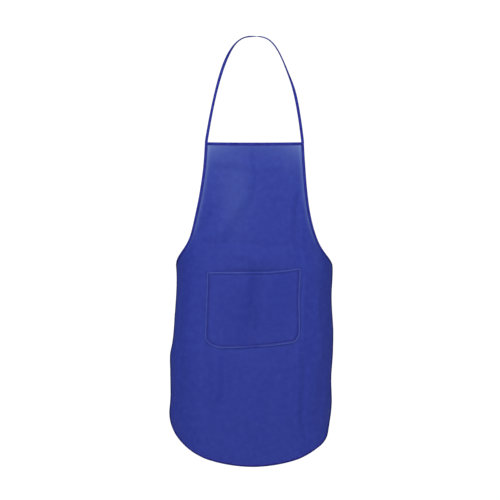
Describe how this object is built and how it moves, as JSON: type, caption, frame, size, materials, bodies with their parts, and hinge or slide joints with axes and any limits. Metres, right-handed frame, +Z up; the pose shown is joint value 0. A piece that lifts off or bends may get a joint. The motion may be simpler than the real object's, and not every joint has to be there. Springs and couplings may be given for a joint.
{
  "type": "bib apron",
  "caption": "Full-length bib apron of plain woven cloth with bound edges, a tape neck loop, one patch pocket and waist ties, for keeping sparks and dirt off the front.",
  "frame": {"origin": "underside of the neck loop's crown, where a hook or peg carries the apron", "axes": "+Z up along the hanging apron, the front faces -Y, +X to the right seen from the front"},
  "size_m": [0.4599, 0.1007, 1.2142],
  "materials": {
    "apron_cloth": "plain royal-blue cloth, matt with a faint sheen",
    "binding_tape": "folded tape, a darker navy than the cloth",
    "sewing_thread": "matt thread that matches the cloth"
  },
  "bodies": {
    "neck_loop_body": {"neck_loop": "binding_tape"},
    "apron_body": {"front_panel": "apron_cloth", "pocket_panel": "apron_cloth", "top_binding": "binding_tape", "left_armhole_binding": "binding_tape", "right_armhole_binding": "binding_tape", "skirt_binding": "binding_tape", "top_stitching": "sewing_thread", "left_armhole_stitching": "sewing_thread", "right_armhole_stitching": "sewing_thread", "skirt_stitching": "sewing_thread", "pocket_stitching": "sewing_thread", "pocket_mouth_stitching": "sewing_thread", "left_neck_bartack": "sewing_thread", "right_neck_bartack": "sewing_thread", "left_waist_bartack": "sewing_thread", "right_waist_bartack": "sewing_thread", "left_pocket_bartack": "sewing_thread", "right_pocket_bartack": "sewing_thread"},
    "left_tie_body": {"left_waist_tie": "binding_tape"},
    "right_tie_body": {"right_waist_tie": "binding_tape"}
  },
  "joints": [
    {"name": "bib_fold", "type": "hinge", "parent": "neck_loop_body", "child": "apron_body", "pos_m": [0, 0, -0.2975], "axis": [1, 0, 0], "range_deg": [-120, 120]},
    {"name": "left_tie_swing", "type": "hinge", "parent": "apron_body", "child": "left_tie_body", "pos_m": [-0.215, 0.0637, -0.6503], "axis": [1, 0, 0], "range_deg": [0, 100]},
    {"name": "right_tie_swing", "type": "hinge", "parent": "apron_body", "child": "right_tie_body", "pos_m": [0.215, 0.0637, -0.6503], "axis": [1, 0, 0], "range_deg": [0, 100]}
  ]
}
